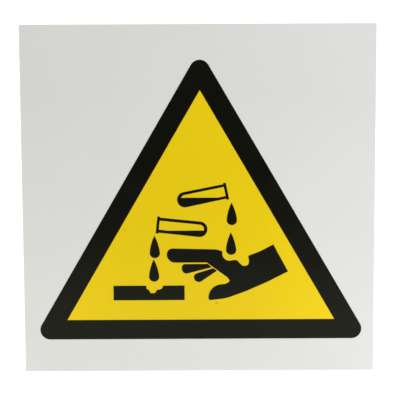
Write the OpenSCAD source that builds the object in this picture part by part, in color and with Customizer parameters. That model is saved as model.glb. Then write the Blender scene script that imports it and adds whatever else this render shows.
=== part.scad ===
// Square plastic sign that warns of corrosive substances.
// It stands as it hangs on a wall: X to the right, Z up, the printed front towards -Y.
// The origin is the middle of the back face.

/* [Sheet] */
// Width of the plastic sheet
sheet_w = 200; // [160:1:400]
// Height of the plastic sheet
sheet_h = 200; // [160:1:400]
// Thickness of the plastic sheet
sheet_t = 1; // [0.5:0.1:5]
// Radius that the guillotine leaves along the front edges
cut_edge_r = 0.2; // [0.05:0.05:0.4]

/* [Ink] */
// Thickness of one coat of ink
ink_t = 0.05; // [0.02:0.01:0.2]
// How far the black border is printed over the edge of the yellow
overprint_w = 0.5; // [0.2:0.1:1.5]

/* [Triangle] */
// White left between the border and each side of the sheet
side_margin = 7.9; // [3:0.1:20]
// Least white left above and below the border
end_margin = 12; // [3:0.5:25]
// How far the print lies to the right of the sheet's middle
print_shift_x = 0.95; // [-1.5:0.05:1.5]
// How far the print lies above the sheet's middle
print_shift_z = -0.6; // [-1.5:0.1:1.5]
// Width of the black border
border_w = 11.4; // [6:0.1:16]
// Radius of the border's outer corners
corner_r = 5.7; // [1:0.1:8]

/* [Symbol] */
// Yellow left between the border and the symbol's base line
base_gap = 11.6; // [4:0.1:16]
// Yellow left between the border and the upper corner of the wrist
wrist_gap = 8.4; // [3:0.1:14]

/* [Hidden] */

white = [0.86, 0.86, 0.84];
yellow = [0.91, 0.80, 0.11];
black = [0.10, 0.10, 0.09];

// Degrees of turn that one facet of a rounded corner takes
facet_turn = 6;

// The triangle fills the width between the side margins, or the height between the end margins.
root3 = sqrt(3);
corner_inset = (root3 - 1) * corner_r;
side_by_width = sheet_w - 2 * side_margin + 2 * corner_inset;
side_by_height = (sheet_h - 2 * end_margin + corner_r) * 2 / root3;
border_side = min(side_by_width, side_by_height);
field_side = border_side - 2 * root3 * border_w;
printed_h = border_side * root3 / 2 - corner_r;
border_base = print_shift_z - printed_h / 2;
field_base = border_base + border_w;

// The symbol is a standard drawing that is only enlarged or reduced as a whole, so its
// measures are in a unit of about a hundredth of its width. Its x counts from its middle, z
// from its base line.
wrist_top = [41.7, 32.4];
wrist_foot = [50.2, 16.5];

tube_d = 9;
tube_l = 23.9;
tube_end_flat = 0.1;
lip_w = 9.9;
lip_t = 1.55;
upper_tube_end = [-8.65, 58.65];
upper_tube_tilt = 11.6;
upper_mouth_d = 8.5;
upper_wall = 1.75;
upper_mouth_wall = 1.55;
upper_bottom = 2.1;
upper_liquid = 59.75;
lower_tube_end = [-0.5, 41.4];
lower_tube_tilt = 6.2;
lower_mouth_d = 8.8;
lower_wall = 1.8;
lower_mouth_wall = 1.75;
lower_bottom = 1.9;
lower_liquid = 40.65;

drop_w = 5.9;
drop_h = 13.15;
drop_side_r = 28;
drop_lean = 0.2;
upper_right_foot = [18.05, 43.75];
lower_right_foot = [17.6, 26.4];
upper_left_foot = [-26.1, 24.65];
lower_left_foot = [-26.6, 10.85];

bar_left = -50.1;
bar_right = -9.2;
bar_foot = -0.1;
bar_top = 8.5;

// The upper corner of the wrist comes nearest to the border, and fixes the symbol's scale.
wrist_reach = wrist_top.x * root3 / 2 + wrist_top.y / 2;
unit = (field_side * root3 / 4 - wrist_gap - base_gap / 2) / wrist_reach;
symbol_base = field_base + base_gap;

// Heights of the coats above the sheet's front
first_coat = ink_t;
second_coat = 2 * ink_t;

function unit_vector(v) = v / norm(v);

// The arc that rounds the corner p between its neighbours a and b; p is [x, y, radius].
function corner_arc(a, p, b) =
    let (
        corner = [p.x, p.y],
        to_a = unit_vector([a.x, a.y] - corner),
        to_b = unit_vector([b.x, b.y] - corner),
        opening = acos(to_a * to_b),
        middle = unit_vector(to_a + to_b),
        centre = corner + middle * p.z / sin(opening / 2),
        first = corner + to_a * p.z / tan(opening / 2) - centre,
        turn = (180 - opening) * (cross(to_a, to_b) > 0 ? -1 : 1),
        steps = ceil(abs(turn) / facet_turn)
    )
    p.z == 0 ? [corner] :
    [for (i = [0:steps]) centre + turned(first, turn * i / steps)];

function turned(v, angle) =
    [v.x * cos(angle) - v.y * sin(angle), v.x * sin(angle) + v.y * cos(angle)];

// A closed outline with rounded corners, from a list of [x, y, radius]
function rounded(corners) =
    let (n = len(corners))
    [for (i = [0:n - 1]) each corner_arc(corners[(i + n - 1) % n], corners[i], corners[(i + 1) % n])];

function arc(centre, radius, from, to) =
    let (steps = max(2, ceil(abs(to - from) / facet_turn)))
    [for (i = [0:steps]) centre + turned([radius, 0], from + (to - from) * i / steps)];

// Equilateral triangle on the line y = base, with the same radius at all three corners
module triangle(side, base, radius = 0) {
    polygon(rounded([
        [print_shift_x - side / 2, base, radius],
        [print_shift_x + side / 2, base, radius],
        [print_shift_x, base + side * root3 / 2, radius]
    ]));
}

// Prints a flat shape on the front, from one height above the sheet to another
module printed(from, to) {
    translate([0, -sheet_t - from, 0])
        rotate([90, 0, 0])
            linear_extrude(to - from)
                children();
}

// Prints a shape of the symbol in the second coat
module symbol_print() {
    color(black)
        printed(first_coat, second_coat)
            translate([print_shift_x, symbol_base])
                scale(unit)
                    children();
}

// Section of the sheet across one pair of edges, front edges rounded
module edge_section(width) {
    polygon(rounded([
        [-width / 2, 0, 0],
        [width / 2, 0, 0],
        [width / 2, -sheet_t, cut_edge_r],
        [-width / 2, -sheet_t, cut_edge_r]
    ]));
}

module panel() {
    color(white)
        intersection() {
            translate([0, 0, -sheet_h / 2])
                linear_extrude(sheet_h)
                    edge_section(sheet_w);
            translate([-sheet_w / 2, 0, 0])
                rotate([90, 0, 90])
                    linear_extrude(sheet_w)
                        rotate(-90)
                            edge_section(sheet_h);
        }
}

module yellow_solid() {
    printed(0, first_coat)
        triangle(field_side + 2 * root3 * overprint_w, field_base - overprint_w);
}

module yellow_field() {
    color(yellow)
        yellow_solid();
}

module black_border() {
    color(black)
        difference() {
            printed(0, second_coat)
                difference() {
                    triangle(border_side, border_base, corner_r);
                    triangle(field_side, field_base);
                }
            yellow_solid();
        }
}

// Outline of a test tube that lies with its mouth at the right, from the lip's back round the
// closed end. The tube is a little narrower at its mouth than at its end, and the origin is
// the centre of the end. The walls are taken off both sides, and the bottom off the end.
function tube_profile(mouth_d, wall = 0, mouth_wall = 0, bottom = 0) =
    let (
        mouth_x = tube_l - lip_t / 2,
        mouth_half = mouth_d / 2 - mouth_wall,
        end_x = bottom - tube_d / 2,
        end_half = tube_d / 2 - wall,
        end_r = end_half - tube_end_flat
    )
    [
        [mouth_x, -mouth_half, 0],
        [end_x, -end_half, end_r],
        [end_x, end_half, end_r],
        [mouth_x, mouth_half, 0]
    ];

module tube_outline(mouth_d) {
    lip_back = tube_l - lip_t / 2;
    lip_front = tube_l + lip_t / 2;
    polygon(rounded(concat(tube_profile(mouth_d), [
        [lip_back, lip_w / 2, 0],
        [lip_front, lip_w / 2, 0],
        [lip_front, -lip_w / 2, 0],
        [lip_back, -lip_w / 2, 0]
    ])));
}

// Tube with its mouth at the right, empty above the level of the liquid
module tube(end, tilt, mouth_d, wall, mouth_wall, bottom, level) {
    difference() {
        translate(end)
            rotate(tilt)
                tube_outline(mouth_d);
        intersection() {
            translate(end)
                rotate(tilt)
                    polygon(rounded(tube_profile(mouth_d, wall, mouth_wall, bottom)));
            translate([end.x - tube_l, level])
                square([2 * tube_l, tube_l]);
        }
    }
}

module upper_tube() {
    symbol_print()
        tube(
            upper_tube_end, upper_tube_tilt, upper_mouth_d,
            upper_wall, upper_mouth_wall, upper_bottom, upper_liquid
        );
}

module lower_tube() {
    symbol_print()
        mirror([1, 0])
            tube(
                [-lower_tube_end.x, lower_tube_end.y], lower_tube_tilt, lower_mouth_d,
                lower_wall, lower_mouth_wall, lower_bottom, lower_liquid
            );
}

// Drop that stands on the point given: a round bottom, and two long arcs that meet in a tip.
// The arcs run smoothly into the bottom, and the tip leans a little to the left.
module drop(foot) {
    r = drop_w / 2;
    arc_z = (drop_h * drop_h - 2 * drop_side_r * r) / (2 * (drop_h - r));
    arc_x = sqrt(drop_side_r * drop_side_r - (drop_h - arc_z) * (drop_h - arc_z));
    join_angle = atan2(r - arc_z, arc_x);
    tip_angle = atan2(drop_h - arc_z, arc_x);
    right = arc([-arc_x, arc_z], drop_side_r, join_angle, tip_angle);
    left = [for (i = [len(right) - 2:-1:1]) [-right[i].x, right[i].y]];
    bottom = arc([0, r], r, -180 - join_angle, join_angle);
    above = [for (i = [1:len(right) - 1]) right[i]];
    upright = concat(bottom, above, left);
    symbol_print()
        translate(foot)
            polygon([for (p = upright) [p.x - drop_lean * p.y / drop_h, p.y]]);
}

// Slab of material, with a hole that the drops have eaten into its top
module eaten_bar() {
    symbol_print()
        polygon(rounded([
            [bar_left, bar_foot, 0],
            [bar_right, bar_foot, 0],
            [bar_right, bar_top, 0],
            [-21.5, bar_top, 0.6],
            [-22.2, 6.8, 0.8],
            [-23.7, 6.1, 0.6],
            [-25, 6.1, 0.3],
            [-26.1, 4.2, 1],
            [-28.7, 4, 1.2],
            [-29.8, 6, 0.6],
            [-31.1, 6.7, 0.6],
            [-31.2, bar_top, 0.2],
            [bar_left, bar_top, 0]
        ]));
}

// Hand, palm up, with a hole that the drops have eaten into its side
module hand() {
    symbol_print()
        polygon(rounded([
            [-19.3, 30.35, 3.45],
            [9.2, 29.6, 6],
            [12.5, 28.5, 0.3],
            [12.5, 22.9, 4.2],
            [17.3, 22.95, 1.5],
            [18.5, 23.3, 1.5],
            [20.9, 23.3, 1.5],
            [24, 19.9, 1.9],
            [27.8, 19.9, 2.2],
            [27.7, 23.5, 2],
            [27.3, 25.8, 0.7],
            [34, 28.3, 40],
            [wrist_top.x, wrist_top.y, 0],
            [wrist_foot.x, wrist_foot.y, 0],
            [38, 10.3, 40],
            [26, 5, 40],
            [14.5, 0.8, 25],
            [4.5, -0.3, 1.2],
            [4.5, 8.3, 7.8],
            [14.4, 9.4, 2],
            [17.1, 11, 1],
            [15.1, 13.4, 3],
            [3.55, 21.95, 0.4],
            [-19.3, 21.95, 4.8]
        ]));
}

module middle_finger() {
    symbol_print()
        polygon(rounded([
            [-10.7, 21.1, 1.9],
            [4.2, 21.1, 0],
            [6.6, 19.15, 0],
            [-10.7, 14.8, 2.6]
        ]));
}

module little_finger() {
    symbol_print()
        polygon(rounded([
            [-3.8, 15.1, 2.1],
            [7.3, 18.6, 0],
            [9.4, 17.1, 0],
            [-3.8, 8, 2.8]
        ]));
}

panel();
yellow_field();
black_border();
upper_tube();
lower_tube();
drop(upper_right_foot);  // upper_right_drop
drop(lower_right_foot);  // lower_right_drop
drop(upper_left_foot);  // upper_left_drop
drop(lower_left_foot);  // lower_left_drop
eaten_bar();
hand();
middle_finger();
little_finger();
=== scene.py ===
"""A square plastic sign that warns of corrosive substances, dressed and set up for its picture.

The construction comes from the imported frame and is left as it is: a rigid plastic sheet, a
yellow triangle printed on it, and the black border and symbol printed over that. What is
made here is the finish of each coat and of the sheet, and a small studio around the sign.
Lengths are in metres, and MM turns a size in millimetres into them.
"""

import math
from collections import namedtuple

import bpy
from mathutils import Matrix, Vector


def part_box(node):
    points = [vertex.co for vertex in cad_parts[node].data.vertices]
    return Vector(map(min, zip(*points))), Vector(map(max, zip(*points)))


bl_info = {
    "name": "Corrosive warning sign",
    "version": (1, 0, 0),
    "blender": (4, 5, 0),
    "location": "View3D > Sidebar > Sign",
    "description": "Gives a printed plastic sign its finish and stands it in a small studio",
    "category": "Object",
}

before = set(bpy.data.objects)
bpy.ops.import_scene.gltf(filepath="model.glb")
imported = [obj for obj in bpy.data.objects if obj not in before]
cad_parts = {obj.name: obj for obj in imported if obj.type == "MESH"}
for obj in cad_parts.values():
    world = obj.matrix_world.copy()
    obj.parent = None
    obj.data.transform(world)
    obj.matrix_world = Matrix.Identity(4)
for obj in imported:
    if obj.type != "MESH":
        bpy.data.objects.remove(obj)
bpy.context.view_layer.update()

MM = 0.001

WHITE = (1.0, 1.0, 1.0, 1.0)

# Sockets of a Mix node, for numbers and for colours
MIX_SHARE = 0
NUMBER_A, NUMBER_B, NUMBER_RESULT = 2, 3, 0
COLOUR_A, COLOUR_B, COLOUR_RESULT = 6, 7, 2

# A noise pattern hardly leaves this range, and its colours lie around the middle.
NOISE_LOW, NOISE_HIGH = 0.3, 0.7
NOISE_MIDDLE = (0.5, 0.5, 0.5)

# Refractive indices
PVC_IOR = 1.53
INK_IOR = 1.5

PAPER_ROUGHNESS = 0.95
FELT_ROUGHNESS = 1.0

SHEET_LOW, SHEET_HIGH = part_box("panel")
SHEET_CENTRE = (SHEET_LOW + SHEET_HIGH) / 2
FRONT_Y = SHEET_LOW.y
YELLOW_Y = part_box("yellow_field")[0].y

SYMBOL_NODES = (
    "upper_tube",
    "lower_tube",
    "upper_right_drop",
    "lower_right_drop",
    "upper_left_drop",
    "lower_left_drop",
    "eaten_bar",
    "hand",
    "middle_finger",
    "little_finger",
)

# A speck of dirt: its place on the surface, its radius, and the share of the colour under it
# that it covers.
Speck = namedtuple("Speck", "x y z radius strength")
SHEET_SPECKS = (
    Speck(-39.0 * MM, FRONT_Y, 56.2 * MM, 1.0 * MM, 0.06),
    Speck(-75.2 * MM, FRONT_Y, 47.1 * MM, 0.8 * MM, 0.06),
    Speck(-93.1 * MM, FRONT_Y, 54.5 * MM, 0.9 * MM, 0.06),
    Speck(87.8 * MM, FRONT_Y, -49.5 * MM, 0.8 * MM, 0.07),
    Speck(8.8 * MM, FRONT_Y, 80.0 * MM, 1.1 * MM, 0.04),
)
YELLOW_SPECKS = (
    Speck(10.1 * MM, YELLOW_Y, -60.1 * MM, 1.15 * MM, 0.25),
    Speck(-42.0 * MM, YELLOW_Y, -17.1 * MM, 1.0 * MM, 0.17),
)

# The share of its radius inside which a speck is at full strength
SPECK_CORE = 0.4
# The size of the dents in a speck's outline, and how far they push it from side to side
DENT_SIZE = 0.5 * MM
DENT_PUSH = 0.9 * MM


def linear(code):
    """Turns an sRGB colour such as #E0E0DC into the linear colour that a socket takes."""
    parts = [int(code[i:i + 2], 16) / 255 for i in (1, 3, 5)]
    # These are the numbers of the sRGB standard.
    lit = [c / 12.92 if c <= 0.04045 else ((c + 0.055) / 1.055) ** 2.4 for c in parts]
    return (*lit, 1.0)


def colour_property(name, description, code):
    return bpy.props.FloatVectorProperty(
        name=name,
        description=description,
        subtype="COLOR",
        size=4,
        min=0,
        max=1,
        default=linear(code),
    )


def length_property(name, description, size):
    return bpy.props.FloatProperty(
        name=name,
        description=description,
        subtype="DISTANCE",
        unit="LENGTH",
        min=0,
        precision=6,
        default=size,
    )


def share_property(name, description, share):
    return bpy.props.FloatProperty(
        name=name, description=description, subtype="FACTOR", min=0, max=1, default=share
    )


class SheetLook(bpy.types.PropertyGroup):
    colour: colour_property("Colour", "White of the plastic", "#E1E1DD")
    edge_colour: colour_property("Edge colour", "Plastic where the blade has cut it", "#E6E6E2")
    speck_colour: colour_property("Speck colour", "Dirt on the white", "#4A4740")
    gloss: share_property("Gloss", "How strongly the plastic mirrors", 0.4)
    roughness: share_property("Front roughness", "Satin of the printed side", 0.36)
    satin_spread: share_property("Satin spread", "How far the front's roughness wanders", 0.03)
    back_roughness: share_property("Back roughness", "Matt of the side that goes to the wall", 0.5)
    edge_roughness: share_property("Edge roughness", "Roughness of the cut edges", 0.62)
    edge_zone: length_property("Edge zone", "Width along the outline that looks cut", 0.15 * MM)
    peel_size: length_property("Peel size", "Width of the rollers' fine bumps", 1.3 * MM)
    peel_height: length_property("Peel height", "Height of the rollers' fine bumps", 0.006 * MM)
    wave_size: length_property("Wave size", "Width of the slow waves in the sheet", 45 * MM)
    wave_height: length_property("Wave height", "Height of the slow waves", 0.05 * MM)
    cut_pitch: length_property("Cut pitch", "Distance between the blade's lines", 0.18 * MM)
    cut_length: length_property("Cut length", "Length of the blade's lines", 1.8 * MM)
    cut_depth: length_property("Cut depth", "Depth of the blade's lines", 0.012 * MM)
    cloud_size: length_property("Cloud size", "Width of the faint clouds in the white", 38 * MM)
    cloud_spread: share_property("Cloud spread", "How far the clouds darken the white", 0.015)


class InkLook(bpy.types.PropertyGroup):
    yellow: colour_property("Yellow", "Colour of the yellow ink", "#E8C912")
    black: colour_property("Black", "Colour of the black ink", "#0B0B06")
    speck_colour: colour_property("Speck colour", "Dirt on the yellow", "#2B3300")
    yellow_gloss: share_property("Yellow gloss", "How strongly the yellow ink mirrors", 0.22)
    black_gloss: share_property("Black gloss", "How strongly the black ink mirrors", 0.18)
    gloss_tint: colour_property("Gloss tint", "Warm tone of what the ink mirrors", "#FFFFED")
    roughness: share_property("Roughness", "Satin of the dried ink", 0.3)
    satin_spread: share_property("Satin spread", "How far the ink's roughness wanders", 0.025)
    yellow_spread: share_property("Yellow spread", "How far the patches darken the yellow", 0.02)
    black_spread: share_property("Black spread", "How far the patches darken the black", 0.08)
    mesh_pitch: length_property("Mesh pitch", "Distance between the screen's threads", 0.42 * MM)
    mesh_height: length_property("Mesh height", "Height of the threads' print", 0.004 * MM)
    mesh_share: share_property("Mesh share", "How much the threads change the film", 0.15)
    mesh_turn: bpy.props.FloatProperty(
        name="Mesh turn",
        description="Angle at which the threads cross the sign",
        subtype="ANGLE",
        unit="ROTATION",
        default=math.radians(22.5),
    )
    flow_size: length_property("Flow size", "Width of the bumps left by wet ink", 2.4 * MM)
    flow_height: length_property("Flow height", "Height of the bumps left by wet ink", 0.009 * MM)
    cloud_size: length_property("Cloud size", "Width of the film's patches", 14 * MM)
    streak_width: length_property("Streak width", "Width of the squeegee's streaks", 1.6 * MM)
    streak_length: length_property("Streak length", "Length of the squeegee's streaks", 80 * MM)
    streak_share: share_property("Streak share", "How much the streaks change the film", 0.3)
    # Painted light and shade on the ink: the point where its colour is darkest, and the distances
    # at which it has grown lighter by the gain.
    painted_shade_centre: bpy.props.FloatVectorProperty(
        name="Thick place",
        description="Where on the sign the film of ink is thickest",
        subtype="TRANSLATION",
        unit="LENGTH",
        default=(-7 * MM, 0.0, -40 * MM),
    )
    painted_light_width: length_property("Thin width", "Distance aside of the thick place", 80 * MM)
    painted_light_height: length_property("Thin height", "Distance above the thick place", 130 * MM)
    painted_light_gain: share_property("Thin gain", "How much lighter the film is at those distances", 0.11)


class StudioLook(bpy.types.PropertyGroup):
    floor_colour: colour_property("Floor colour", "White paper under the sign", "#F2F2F0")
    fibre_size: length_property("Fibre size", "Width of the grain in the paper", 1.5 * MM)
    fibre_spread: share_property("Fibre spread", "How far the grain darkens the paper", 0.01)
    card_colour: colour_property("Card colour", "Dark card that keeps gloss away", "#101010")
    pile_size: length_property("Pile size", "Width of the tufts in the card's felt", 2 * MM)
    pile_spread: share_property("Pile spread", "How far the tufts darken the felt", 0.2)
    floor_front: length_property("Floor front", "Length of paper before the sign", 245 * MM)
    floor_side: length_property("Floor side", "Length of paper at the other sides", 2600 * MM)
    floor_glow: bpy.props.FloatProperty(
        name="Floor glow",
        description="Light added to the paper where it is seen, so that it turns white",
        min=0,
        default=0.3,
    )
    card_away: length_property("Card distance", "How far before the sign the card hangs", 2500 * MM)
    card_width: length_property("Card width", "Width of the dark card", 2600 * MM)
    card_top: length_property("Card top", "Card's top edge above the sign's middle", 350 * MM)
    card_foot: bpy.props.FloatProperty(
        name="Card foot",
        description="Height of the card's lower edge above the sign's middle, below it if negative",
        subtype="DISTANCE",
        unit="LENGTH",
        default=-1600 * MM,
    )
    ambient: bpy.props.FloatProperty(
        name="Ambient", description="Even light from all around", min=0, default=0.85
    )
    sky_light: bpy.props.FloatProperty(
        name="Sky light",
        description="Strength of the large soft light above the front",
        min=0,
        default=0.59,
    )
    sky_turn: bpy.props.FloatProperty(
        name="Sky turn",
        description="How far from straight overhead the soft light stands",
        subtype="ANGLE",
        unit="ROTATION",
        default=math.radians(26),
    )
    sky_width: bpy.props.FloatProperty(
        name="Sky width",
        description="How large the soft light looks from the sign",
        subtype="ANGLE",
        unit="ROTATION",
        default=math.radians(50),
    )
    box_size: length_property("Softbox size", "Width and height of each softbox", 300 * MM)
    right_light: bpy.props.FloatProperty(
        name="Right light",
        description="Power of the softbox at the right",
        unit="POWER",
        min=0,
        default=0.64,
    )
    right_colour: colour_property("Right light colour", "Slightly cool white", "#F3F5FF")
    right_place: bpy.props.FloatVectorProperty(
        name="Right softbox",
        description="Where the right softbox stands",
        subtype="TRANSLATION",
        unit="LENGTH",
        default=(380 * MM, -340 * MM, 30 * MM),
    )
    camera_place: bpy.props.FloatVectorProperty(
        name="Camera place",
        description="Where the camera stands",
        subtype="TRANSLATION",
        unit="LENGTH",
        default=(1.99 * MM, -1116.1 * MM, 209.5 * MM),
    )
    camera_turn: bpy.props.FloatVectorProperty(
        name="Camera turn",
        description="How the camera is turned",
        subtype="EULER",
        unit="ROTATION",
        default=tuple(math.radians(angle) for angle in (79.36, 0.275, 0.008)),
    )
    lens: bpy.props.FloatProperty(
        name="Lens",
        description="Focal length of the camera in millimetres",
        unit="CAMERA",
        default=180,
    )


def node(tree, kind, inputs=None, **settings):
    """Adds a node with its settings. An input given as a socket is linked, any other is set."""
    new = tree.nodes.new("ShaderNode" + kind)
    for name, value in settings.items():
        setattr(new, name, value)
    for key, value in (inputs or {}).items():
        if isinstance(value, bpy.types.NodeSocket):
            tree.links.new(value, new.inputs[key])
        else:
            new.inputs[key].default_value = value
    return new


def new_material(name):
    """An empty material with its shader, and the place on the object that patterns follow."""
    material = bpy.data.materials.new(name)
    material.use_nodes = True
    tree = material.node_tree
    tree.nodes.clear()
    shader = node(tree, "BsdfPrincipled")
    node(tree, "OutputMaterial", {"Surface": shader.outputs[0]})
    place = node(tree, "TexCoord").outputs["Object"]
    return material, tree, shader, place


def shaded(tree, colour, pattern, spread):
    """The colour, darker by the spread where the pattern is 0, and lighter where it is 1."""
    brightness = node(
        tree, "MapRange", {"Value": pattern, "To Min": 1 - spread, "To Max": 1 + spread}
    ).outputs["Result"]
    return node(
        tree, "VectorMath", {0: colour[:3], "Scale": brightness}, operation="SCALE"
    ).outputs[0]


def specked(tree, colour, place, specks, dirt):
    """The colour with specks of dirt on it, whose outlines are dented."""
    noise = node(
        tree, "TexNoise", {"Vector": place, "Scale": 1 / DENT_SIZE, "Detail": 2.0}
    ).outputs["Color"]
    either_way = node(
        tree, "VectorMath", {0: noise, 1: NOISE_MIDDLE}, operation="SUBTRACT"
    ).outputs[0]
    push = node(
        tree, "VectorMath", {0: either_way, "Scale": DENT_PUSH}, operation="SCALE"
    ).outputs[0]
    dented = node(tree, "VectorMath", {0: place, 1: push}, operation="ADD").outputs[0]
    for speck in specks:
        distance = node(
            tree, "VectorMath", {0: dented, 1: (speck.x, speck.y, speck.z)}, operation="DISTANCE"
        ).outputs["Value"]
        share = node(
            tree,
            "MapRange",
            {"Value": distance, "From Min": SPECK_CORE * speck.radius, "From Max": speck.radius,
             "To Min": speck.strength, "To Max": 0.0},
            interpolation_type="SMOOTHSTEP",
        ).outputs["Result"]
        colour = node(
            tree, "Mix", {MIX_SHARE: share, COLOUR_A: colour, COLOUR_B: dirt}, data_type="RGBA"
        ).outputs[COLOUR_RESULT]
    return colour


def rigid_sheet(look):
    """Rigid PVC, calendered between polished rollers and cut with a guillotine.

    To the eye it is an even, slightly warm white with a soft satin, whose reflections wander a
    little because the sheet isn't quite flat. The cut edges are matt and finely lined.
    """
    material, tree, shader, place = new_material("Calendered rigid PVC")
    axes = node(tree, "SeparateXYZ", {"Vector": place}).outputs

    # The distance to the nearer pair of edges says what is front and what is cut.
    half_size = (SHEET_HIGH - SHEET_LOW) / 2
    to_edge = []
    for axis, half in (("X", half_size.x), ("Z", half_size.z)):
        outwards = node(tree, "Math", {0: axes[axis]}, operation="ABSOLUTE").outputs[0]
        to_edge.append(node(tree, "Math", {0: half, 1: outwards}, operation="SUBTRACT").outputs[0])
    nearest = node(tree, "Math", {0: to_edge[0], 1: to_edge[1]}, operation="MINIMUM").outputs[0]
    cut = node(
        tree,
        "MapRange",
        {"Value": nearest, "From Min": 0.0, "From Max": look.edge_zone,
         "To Min": 1.0, "To Max": 0.0},
    ).outputs["Result"]
    is_back = node(
        tree, "Math", {0: axes["Y"], 1: SHEET_CENTRE.y}, operation="GREATER_THAN"
    ).outputs[0]

    clouds = node(
        tree, "TexNoise", {"Vector": place, "Scale": 1 / look.cloud_size, "Detail": 3.0}
    ).outputs["Fac"]
    white = shaded(tree, look.colour, clouds, look.cloud_spread)
    white = specked(tree, white, place, SHEET_SPECKS, look.speck_colour)
    colour = node(
        tree, "Mix", {MIX_SHARE: cut, COLOUR_A: white, COLOUR_B: look.edge_colour},
        data_type="RGBA",
    ).outputs[COLOUR_RESULT]

    # The satin is a little uneven: rollers leave it smoother in places, and hands too.
    satin = node(
        tree,
        "MapRange",
        {"Value": clouds, "From Min": NOISE_LOW, "From Max": NOISE_HIGH,
         "To Min": look.roughness - look.satin_spread,
         "To Max": look.roughness + look.satin_spread},
    ).outputs["Result"]
    sides = node(
        tree, "Mix", {MIX_SHARE: is_back, NUMBER_A: satin, NUMBER_B: look.back_roughness}
    ).outputs[NUMBER_RESULT]
    roughness = node(
        tree, "Mix", {MIX_SHARE: cut, NUMBER_A: sides, NUMBER_B: look.edge_roughness}
    ).outputs[NUMBER_RESULT]

    waves = node(
        tree, "TexNoise", {"Vector": place, "Scale": 1 / look.wave_size, "Detail": 0.0}
    ).outputs["Fac"]
    waved = node(tree, "Bump", {"Height": waves, "Distance": look.wave_height}).outputs[0]
    peel = node(
        tree, "TexNoise", {"Vector": place, "Scale": 1 / look.peel_size, "Detail": 1.0}
    ).outputs["Fac"]
    peeled = node(
        tree, "Bump", {"Height": peel, "Distance": look.peel_height, "Normal": waved}
    ).outputs[0]

    # The blade's lines run through the thickness, along Y.
    finely = 1 / look.cut_pitch
    drawn_out = node(
        tree, "Mapping", {"Vector": place, "Scale": (finely, 1 / look.cut_length, finely)}
    ).outputs[0]
    lines = node(
        tree, "TexNoise", {"Vector": drawn_out, "Scale": 1.0, "Detail": 2.0}
    ).outputs["Fac"]
    lines_on_cut = node(tree, "Math", {0: lines, 1: cut}, operation="MULTIPLY").outputs[0]
    normal = node(
        tree, "Bump", {"Height": lines_on_cut, "Distance": look.cut_depth, "Normal": peeled}
    ).outputs[0]

    tree.links.new(colour, shader.inputs["Base Color"])
    tree.links.new(roughness, shader.inputs["Roughness"])
    tree.links.new(normal, shader.inputs["Normal"])
    shader.inputs["IOR"].default_value = PVC_IOR
    shader.inputs["Specular IOR Level"].default_value = look.gloss
    return material


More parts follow.
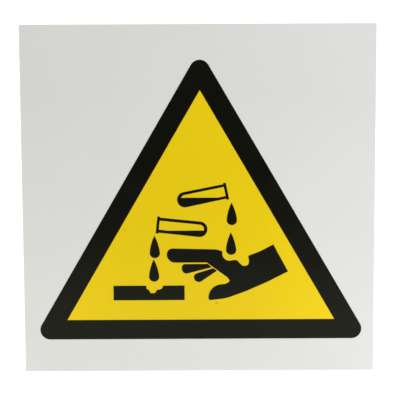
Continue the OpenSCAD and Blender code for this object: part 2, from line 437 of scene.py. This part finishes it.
def screen_ink(name, look, colour, gloss, spread, specks=()):
    """Ink pressed through a woven screen with a squeegee, and dried to a satin film.

    To the eye it is one deep colour, with painted light and shade that darken it round a point low
    in the middle and lighten it towards the sides and top. Close by it has faint thicker and
    thinner patches, streaks in the direction of the squeegee, and the print of the threads in its
    surface.
    """
    material, tree, shader, place = new_material(name)

    clouds = node(
        tree, "TexNoise", {"Vector": place, "Scale": 1 / look.cloud_size, "Detail": 4.0}
    ).outputs["Fac"]

    # The squeegee is drawn down the sign, and its streaks run along Z.
    narrow = 1 / look.streak_width
    drawn_out = node(
        tree, "Mapping", {"Vector": place, "Scale": (narrow, narrow, 1 / look.streak_length)}
    ).outputs[0]
    streaks = node(
        tree, "TexNoise", {"Vector": drawn_out, "Scale": 1.0, "Detail": 2.0}
    ).outputs["Fac"]

    # Real threads lie 0.08 mm apart. They are drawn coarser, so that a close view shows them.
    turned = node(
        tree, "Mapping", {"Vector": place, "Rotation": (0.0, look.mesh_turn, 0.0)}
    ).outputs[0]
    phase = node(
        tree, "VectorMath", {0: turned, "Scale": 2 * math.pi / look.mesh_pitch}, operation="SCALE"
    ).outputs[0]
    threads = node(tree, "SeparateXYZ", {"Vector": phase}).outputs
    across = node(tree, "Math", {0: threads["X"]}, operation="SINE").outputs[0]
    upwards = node(tree, "Math", {0: threads["Z"]}, operation="SINE").outputs[0]
    woven = node(tree, "Math", {0: across, 1: upwards}, operation="MULTIPLY").outputs[0]

    # The film is thicker in some patches, along some streaks and between the threads.
    patches = node(
        tree, "Mix", {MIX_SHARE: look.streak_share, NUMBER_A: clouds, NUMBER_B: streaks}
    ).outputs[NUMBER_RESULT]
    film = node(
        tree, "Math", {0: woven, 1: look.mesh_share, 2: patches}, operation="MULTIPLY_ADD"
    ).outputs[0]
    toned = shaded(tree, colour, film, spread)

    # Painted light and shade: the colour is darkest round one point low in the middle of the sign
    # and grows lighter towards its sides and top, standing in for uneven light on the print.
    aside = node(
        tree, "VectorMath", {0: place, 1: look.painted_shade_centre}, operation="SUBTRACT"
    ).outputs[0]
    per_reach = (1 / look.painted_light_width, 0.0, 1 / look.painted_light_height)
    reaches = node(tree, "VectorMath", {0: aside, 1: per_reach}, operation="MULTIPLY").outputs[0]
    squared = node(
        tree, "VectorMath", {0: reaches, 1: reaches}, operation="DOT_PRODUCT"
    ).outputs["Value"]
    painted_shading = node(
        tree, "Math", {0: squared, 1: look.painted_light_gain, 2: 1.0}, operation="MULTIPLY_ADD"
    ).outputs[0]
    toned = node(tree, "VectorMath", {0: toned, "Scale": painted_shading}, operation="SCALE").outputs[0]
    if specks:
        toned = specked(tree, toned, place, specks, look.speck_colour)

    satin = node(
        tree,
        "MapRange",
        {"Value": clouds, "From Min": NOISE_LOW, "From Max": NOISE_HIGH,
         "To Min": look.roughness - look.satin_spread,
         "To Max": look.roughness + look.satin_spread},
    ).outputs["Result"]
    printed = node(tree, "Bump", {"Height": woven, "Distance": look.mesh_height}).outputs[0]
    flow = node(
        tree, "TexNoise", {"Vector": place, "Scale": 1 / look.flow_size, "Detail": 1.0}
    ).outputs["Fac"]
    normal = node(
        tree, "Bump", {"Height": flow, "Distance": look.flow_height, "Normal": printed}
    ).outputs[0]

    tree.links.new(toned, shader.inputs["Base Color"])
    tree.links.new(satin, shader.inputs["Roughness"])
    tree.links.new(normal, shader.inputs["Normal"])
    shader.inputs["IOR"].default_value = INK_IOR
    shader.inputs["Specular IOR Level"].default_value = gloss
    shader.inputs["Specular Tint"].default_value = look.gloss_tint
    return material


def dress(names, material):
    """Gives the named pieces the material in every slot of theirs."""
    for name in names:
        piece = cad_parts[name]
        if not piece.material_slots:
            piece.data.materials.append(material)
        for slot in piece.material_slots:
            slot.material = material


def ray_is_seen(tree):
    """1 for rays that show the background itself: to the camera, in a gloss or through glass."""
    path = node(tree, "LightPath").outputs
    seen = path["Is Camera Ray"]
    for ray in ("Is Glossy Ray", "Is Transmission Ray"):
        seen = node(tree, "Math", {0: seen, 1: path[ray]}, operation="MAXIMUM").outputs[0]
    return seen


def paper_floor(look):
    """Matt white paper that shows the sign's shadow and turns white where no shadow falls."""
    material, tree, shader, place = new_material("Studio paper")
    fibres = node(
        tree, "TexNoise", {"Vector": place, "Scale": 1 / look.fibre_size, "Detail": 4.0}
    ).outputs["Fac"]
    colour = shaded(tree, look.floor_colour, fibres, look.fibre_spread)
    glow = node(
        tree, "Math", {0: ray_is_seen(tree), 1: look.floor_glow}, operation="MULTIPLY"
    ).outputs[0]
    tree.links.new(colour, shader.inputs["Base Color"])
    tree.links.new(glow, shader.inputs["Emission Strength"])
    shader.inputs["Emission Color"].default_value = WHITE
    shader.inputs["Roughness"].default_value = PAPER_ROUGHNESS
    shader.inputs["Specular IOR Level"].default_value = 0.0
    return material


def dark_card(look):
    """Black felt on a board."""
    material, tree, shader, place = new_material("Black felt")
    pile = node(
        tree, "TexNoise", {"Vector": place, "Scale": 1 / look.pile_size, "Detail": 2.0}
    ).outputs["Fac"]
    colour = shaded(tree, look.card_colour, pile, look.pile_spread)
    tree.links.new(colour, shader.inputs["Base Color"])
    shader.inputs["Roughness"].default_value = FELT_ROUGHNESS
    shader.inputs["Specular IOR Level"].default_value = 0.0
    return material


def white_world(look):
    """Even light all round, and plain white where the background itself is seen."""
    world = bpy.data.worlds.new("White studio")
    world.use_nodes = True
    tree = world.node_tree
    tree.nodes.clear()
    lit = node(tree, "Background", {"Color": WHITE, "Strength": look.ambient}).outputs[0]
    shown = node(tree, "Background", {"Color": WHITE, "Strength": 1.0}).outputs[0]
    mixed = node(tree, "MixShader", {0: ray_is_seen(tree), 1: lit, 2: shown}).outputs[0]
    node(tree, "OutputWorld", {"Surface": mixed})
    bpy.context.scene.world = world


def stage_plane(name, centre, size, turn, material):
    """A flat piece of the studio, a plane of the given width and depth, turned about X."""
    bpy.ops.object.select_all(action="DESELECT")
    bpy.ops.mesh.primitive_plane_add(size=1, location=centre, rotation=(turn, 0, 0))
    plane = bpy.context.object
    plane.name = name
    plane.scale = (*size, 1)
    bpy.ops.object.transform_apply(location=True, rotation=True, scale=True)
    plane.data.materials.append(material)
    return plane


def softbox(name, place, size, power, colour):
    """A square lamp that faces the middle of the sign and isn't seen itself."""
    bpy.ops.object.light_add(type="AREA", location=place)
    lamp = bpy.context.object
    lamp.name = name
    lamp.rotation_euler = (Vector(place) - SHEET_CENTRE).to_track_quat("Z", "Y").to_euler()
    lamp.data.size = size
    lamp.data.energy = power
    lamp.data.color = colour[:3]
    lamp.visible_camera = False


class SIGN_OT_sheet(bpy.types.Operator):
    """Gives the plastic sheet its satin front, matt back and cut edges"""

    bl_idname = "sign.dress_sheet"
    bl_label = "Dress the sheet"

    def execute(self, context):
        dress(["panel"], rigid_sheet(context.scene.sign_sheet))
        return {"FINISHED"}


class SIGN_OT_yellow(bpy.types.Operator):
    """Gives the triangle its coat of yellow ink"""

    bl_idname = "sign.dress_yellow"
    bl_label = "Dress the yellow field"

    def execute(self, context):
        look = context.scene.sign_ink
        ink = screen_ink(
            "Yellow screen ink",
            look,
            look.yellow,
            look.yellow_gloss,
            look.yellow_spread,
            YELLOW_SPECKS,
        )
        dress(["yellow_field"], ink)
        return {"FINISHED"}


class SIGN_OT_black(bpy.types.Operator):
    """Gives the border and the symbol their coat of black ink"""

    bl_idname = "sign.dress_black"
    bl_label = "Dress the border and symbol"

    def execute(self, context):
        look = context.scene.sign_ink
        ink = screen_ink("Black screen ink", look, look.black, look.black_gloss, look.black_spread)
        dress(["black_border", *SYMBOL_NODES], ink)
        return {"FINISHED"}


class SIGN_OT_stage(bpy.types.Operator):
    """Lays the paper, hangs the dark card, and sets the lamps and the camera"""

    bl_idname = "sign.set_stage"
    bl_label = "Set the stage"

    def execute(self, context):
        look = context.scene.sign_studio
        white_world(look)
        depth = look.floor_front + look.floor_side
        stage_plane(
            "paper",
            (0, (look.floor_side - look.floor_front) / 2, SHEET_LOW.z),
            (2 * look.floor_side, depth),
            0,
            paper_floor(look),
        )
        card_middle = (look.card_top + look.card_foot) / 2
        card = stage_plane(
            "card",
            (0, -look.card_away, card_middle),
            (look.card_width, look.card_top - look.card_foot),
            math.pi / 2,
            dark_card(look),
        )
        card.visible_camera = False
        card.visible_transmission = False

        bpy.ops.object.light_add(type="SUN", rotation=(look.sky_turn, 0, 0))
        sky = context.object.data
        sky.energy = look.sky_light
        sky.angle = look.sky_width
        softbox(
            "right_softbox",
            look.right_place,
            look.box_size,
            look.right_light,
            look.right_colour,
        )

        bpy.ops.object.camera_add(location=look.camera_place, rotation=look.camera_turn)
        camera = context.object
        camera.data.lens = look.lens
        context.scene.camera = camera
        context.scene.view_settings.view_transform = "Standard"
        return {"FINISHED"}


OPERATORS = (SIGN_OT_sheet, SIGN_OT_yellow, SIGN_OT_black, SIGN_OT_stage)


class SIGN_PT_panel(bpy.types.Panel):
    """Lists the sizes and colours, and the steps that use them"""

    bl_idname = "SIGN_PT_panel"
    bl_label = "Corrosive warning sign"
    bl_space_type = "VIEW_3D"
    bl_region_type = "UI"
    bl_category = "Sign"

    def draw(self, context):
        scene = context.scene
        for group in (scene.sign_sheet, scene.sign_ink, scene.sign_studio):
            box = self.layout.box()
            for name in group.__annotations__:
                box.prop(group, name)
        for operator in OPERATORS:
            self.layout.operator(operator.bl_idname)


CLASSES = (SheetLook, InkLook, StudioLook, *OPERATORS, SIGN_PT_panel)


def register():
    for cls in CLASSES:
        bpy.utils.register_class(cls)
    bpy.types.Scene.sign_sheet = bpy.props.PointerProperty(type=SheetLook)
    bpy.types.Scene.sign_ink = bpy.props.PointerProperty(type=InkLook)
    bpy.types.Scene.sign_studio = bpy.props.PointerProperty(type=StudioLook)


def unregister():
    del bpy.types.Scene.sign_studio
    del bpy.types.Scene.sign_ink
    del bpy.types.Scene.sign_sheet
    for cls in reversed(CLASSES):
        bpy.utils.unregister_class(cls)


def main():
    register()
    bpy.ops.sign.dress_sheet()
    bpy.ops.sign.dress_yellow()
    bpy.ops.sign.dress_black()
    bpy.ops.sign.set_stage()


if __name__ == "__main__":
    main()
